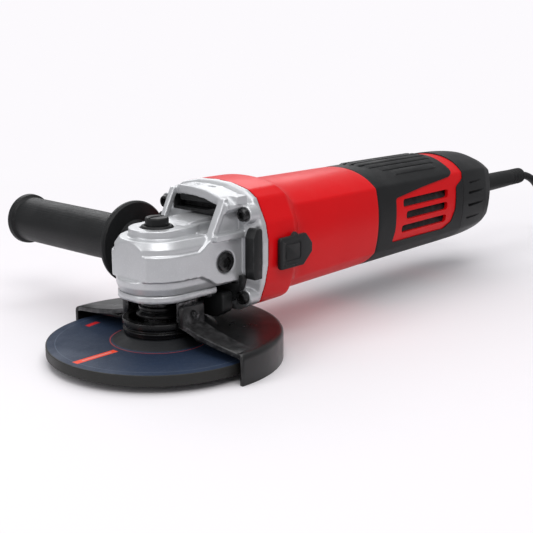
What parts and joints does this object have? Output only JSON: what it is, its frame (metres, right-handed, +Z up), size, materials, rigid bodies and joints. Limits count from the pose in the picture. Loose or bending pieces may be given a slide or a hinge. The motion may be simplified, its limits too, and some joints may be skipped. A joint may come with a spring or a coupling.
{
  "type": "angle grinder",
  "caption": "Corded angle grinder with a wheel guard, a depressed-centre grinding wheel, a side handle, a slide switch and a coiled mains cord.",
  "frame": {"origin": "centre of the machine's plan, without the cord, on the surface that the wheel guard stands on", "axes": "+X along the body from the gear head to the cord, +Y towards the side handle, +Z up along the spindle"},
  "size_m": [0.5962, 0.2866, 0.0943],
  "materials": {
    "cast_silver": "satin die-cast",
    "red_housing": "moulded, low gloss",
    "black_plastic": "fine moulded grain",
    "black_rubber": "matt overmould",
    "black_steel": "semi-gloss black",
    "bright_steel": "ground",
    "wheel_abrasive": "coarse bonded grit",
    "copper_wire": "enamelled windings",
    "carbon": "pressed carbon",
    "brass_metal": "bright"
  },
  "bodies": {
    "machine": {"spindle_bearing_outer_ring": "bright_steel", "front_bearing_outer_ring": "bright_steel", "rear_bearing": "bright_steel", "spindle_top_bush": "brass_metal", "bearing_retainer": "cast_silver", "neck_sleeve": "black_steel", "gear_case": "cast_silver", "outlet_trim": "black_plastic", "button_ring": "black_rubber", "lock_spring": "bright_steel", "guard_seat": "black_steel", "stator_core": "bright_steel", "field_winding_front": "copper_wire", "field_winding_rear": "copper_wire", "fan_baffle": "black_plastic", "bearing_bracket": "black_plastic", "brush_holder_left": "brass_metal", "brush_holder_right": "brass_metal", "carbon_brush_left": "carbon", "carbon_brush_right": "carbon", "motor_housing": "red_housing", "switch_body": "black_plastic", "rear_housing_left": "red_housing", "rear_housing_right": "red_housing", "grip_sleeve": "black_rubber", "tail_cap": "black_plastic", "handle_hole_plug": "black_steel", "cord_boot": "black_rubber", "power_cord": "black_rubber", "cord_coil": "black_rubber", "cord_tie": "black_plastic", "mains_plug": "black_plastic", "retainer_screw_1": "black_steel", "housing_screw_1": "black_steel", "retainer_screw_2": "black_steel", "housing_screw_2": "black_steel", "retainer_screw_3": "black_steel", "housing_screw_3": "black_steel", "retainer_screw_4": "black_steel", "housing_screw_4": "black_steel"},
    "spindle_set": {"spindle": "bright_steel", "spindle_gear": "bright_steel", "inner_flange": "black_steel", "grinding_wheel": "wheel_abrasive", "outer_flange_nut": "black_steel", "spindle_bearing_inner_ring": "bright_steel"},
    "armature": {"armature_shaft": "bright_steel", "armature_core": "bright_steel", "commutator": "copper_wire", "cooling_fan": "black_plastic", "pinion_gear": "bright_steel", "front_bearing_inner_ring": "bright_steel"},
    "guard": {"wheel_guard": "black_steel", "guard_clamp_screw": "bright_steel"},
    "lock": {"lock_button": "black_plastic"},
    "switch": {"switch_slider": "black_plastic", "slider_rod": "black_plastic"},
    "handle": {"side_handle_grip": "black_rubber", "side_handle_stud": "bright_steel"}
  },
  "joints": [
    {"name": "spindle_spin", "type": "hinge", "parent": "machine", "child": "spindle_set", "pos_m": [-0.12775, -0.0441, 0.0303], "axis": [0, 0, 1], "continuous": true},
    {"name": "armature_spin", "type": "hinge", "parent": "machine", "child": "armature", "pos_m": [-0.03775, -0.0441, 0.0559], "axis": [1, 0, 0], "continuous": true},
    {"name": "guard_turn", "type": "hinge", "parent": "machine", "child": "guard", "pos_m": [-0.12775, -0.0441, 0.0283], "axis": [0, 0, 1], "range_deg": [-40, 40]},
    {"name": "lock_press", "type": "slide", "parent": "machine", "child": "lock", "axis": [0, 0, -1], "range_m": [0, 0.0038], "stiffness_N_per_m": 600, "springref_m": -0.002, "deforming": ["lock_spring"]},
    {"name": "switch_slide", "type": "slide", "parent": "machine", "child": "switch", "axis": [-1, 0, 0], "range_m": [0, 0.006]},
    {"name": "handle_unscrew", "type": "slide", "parent": "machine", "child": "handle", "axis": [0, 1, 0], "range_m": [0, 0.0145]}
  ],
  "couplings": [
    {"joint": "armature_spin", "follows": "spindle_spin", "ratio": 3}
  ]
}
